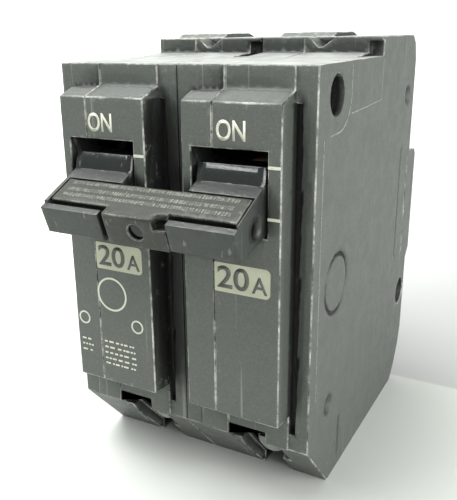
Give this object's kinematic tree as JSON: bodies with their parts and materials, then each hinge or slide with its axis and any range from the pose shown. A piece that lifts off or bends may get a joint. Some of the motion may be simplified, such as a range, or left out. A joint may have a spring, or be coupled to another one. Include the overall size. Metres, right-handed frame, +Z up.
{
  "type": "two pole plug-in circuit breaker",
  "caption": "Plug-in thermal-magnetic circuit breaker with tied toggle handles, moulded half shells, load terminals at one end and stab jaws at the other.",
  "frame": {"origin": "middle of the bounding box at the load end, on which the breaker stands", "axes": "+Z up from the load end to the line end, -Y towards the handles, +X to the right when facing the handles"},
  "size_m": [0.0506, 0.0824, 0.0853],
  "materials": {
    "phenolic_case": "moulded, dusty, worn edges",
    "phenolic_handle": "moulded, satin",
    "black_steel": "satin black, embossed",
    "black_plastic": "moulded",
    "zinc_steel": "zinc plated",
    "plain_steel": "plain",
    "bimetal": "rolled strip",
    "copper": "plated copper",
    "copper_braid": "woven",
    "silver_contact": "silver alloy",
    "fibre": "vulcanised fibre"
  },
  "bodies": {
    "case": {"left_cover": "phenolic_case", "right_cover": "phenolic_case", "left_base": "phenolic_case", "right_base": "phenolic_case", "case_rivets": "plain_steel", "left_stab_jaw": "copper", "right_stab_jaw": "copper", "left_jaw_spring": "plain_steel", "right_jaw_spring": "plain_steel", "left_line_strap": "copper", "right_line_strap": "copper", "left_fixed_contact": "silver_contact", "right_fixed_contact": "silver_contact", "left_arc_plates": "plain_steel", "right_arc_plates": "plain_steel", "left_arc_sides": "fibre", "right_arc_sides": "fibre", "left_load_strap": "copper", "right_load_strap": "copper", "left_bimetal": "bimetal", "right_bimetal": "bimetal", "left_magnet_yoke": "plain_steel", "right_magnet_yoke": "plain_steel", "left_calibration_screw": "zinc_steel", "right_calibration_screw": "zinc_steel", "left_braid": "copper_braid", "right_braid": "copper_braid", "left_cradle_pin": "plain_steel", "right_cradle_pin": "plain_steel", "left_main_spring": "zinc_steel", "right_main_spring": "zinc_steel", "trip_spring": "zinc_steel"},
    "handle": {"left_handle": "phenolic_handle", "right_handle": "phenolic_handle", "handle_tie": "black_steel", "tie_pin": "black_plastic", "left_arm_pin": "plain_steel", "right_arm_pin": "plain_steel"},
    "left_arm": {"left_contact_arm": "copper", "left_moving_contact": "silver_contact"},
    "right_arm": {"right_contact_arm": "copper", "right_moving_contact": "silver_contact"},
    "trip": {"trip_bar": "black_plastic", "left_armature": "plain_steel", "right_armature": "plain_steel"},
    "left_cradle": {"left_cradle": "plain_steel"},
    "right_cradle": {"right_cradle": "plain_steel"},
    "left_clamp": {"left_wire_clamp": "zinc_steel"},
    "right_clamp": {"right_wire_clamp": "zinc_steel"},
    "left_screw": {"left_terminal_screw": "zinc_steel"},
    "right_screw": {"right_terminal_screw": "zinc_steel"}
  },
  "joints": [
    {"name": "handle_tilt", "type": "hinge", "parent": "case", "child": "handle", "pos_m": [0, -0.02281, 0.0612], "axis": [-1, 0, 0], "range_deg": [0, 35]},
    {"name": "left_arm_swing", "type": "hinge", "parent": "handle", "child": "left_arm", "pos_m": [-0.0127, -0.01618, 0.06342], "axis": [1, 0, 0], "range_deg": [0, 61], "deforming": ["left_braid", "left_main_spring"]},
    {"name": "right_arm_swing", "type": "hinge", "parent": "handle", "child": "right_arm", "pos_m": [0.0127, -0.01618, 0.06342], "axis": [1, 0, 0], "range_deg": [0, 61], "deforming": ["right_braid", "right_main_spring"]},
    {"name": "trip_tilt", "type": "hinge", "parent": "case", "child": "trip", "pos_m": [0, 0.00229, 0.022], "axis": [-1, 0, 0], "range_deg": [0, 4], "stiffness_Nm_per_rad": 0.04, "springref_deg": -11.46, "deforming": ["trip_spring"]},
    {"name": "left_cradle_swing", "type": "hinge", "parent": "case", "child": "left_cradle", "pos_m": [-0.0162, -0.01832, 0.0465], "axis": [1, 0, 0], "range_deg": [0, 14]},
    {"name": "right_cradle_swing", "type": "hinge", "parent": "case", "child": "right_cradle", "pos_m": [0.0092, -0.01832, 0.0465], "axis": [1, 0, 0], "range_deg": [0, 14]},
    {"name": "left_clamp_slide", "type": "slide", "parent": "case", "child": "left_clamp", "axis": [0, 1, 0], "range_m": [0, 0.0035]},
    {"name": "left_screw_turn", "type": "hinge", "parent": "left_clamp", "child": "left_screw", "pos_m": [-0.0104, -0.01532, 0.009], "axis": [0, 1, 0], "range_deg": [0, 1589.4]},
    {"name": "right_clamp_slide", "type": "slide", "parent": "case", "child": "right_clamp", "axis": [0, 1, 0], "range_m": [0, 0.0035]},
    {"name": "right_screw_turn", "type": "hinge", "parent": "right_clamp", "child": "right_screw", "pos_m": [0.015, -0.01532, 0.009], "axis": [0, 1, 0], "range_deg": [0, 1589.4]}
  ],
  "couplings": [
    {"joint": "left_arm_swing", "follows": "handle_tilt", "ratio": 1.7429},
    {"joint": "right_arm_swing", "follows": "handle_tilt", "ratio": 1.7429},
    {"joint": "left_cradle_swing", "follows": "trip_tilt", "ratio": 3.5},
    {"joint": "right_cradle_swing", "follows": "trip_tilt", "ratio": 3.5},
    {"joint": "left_screw_turn", "follows": "left_clamp_slide", "rad_per_m": 7915.8},
    {"joint": "right_screw_turn", "follows": "right_clamp_slide", "rad_per_m": 7915.8}
  ]
}
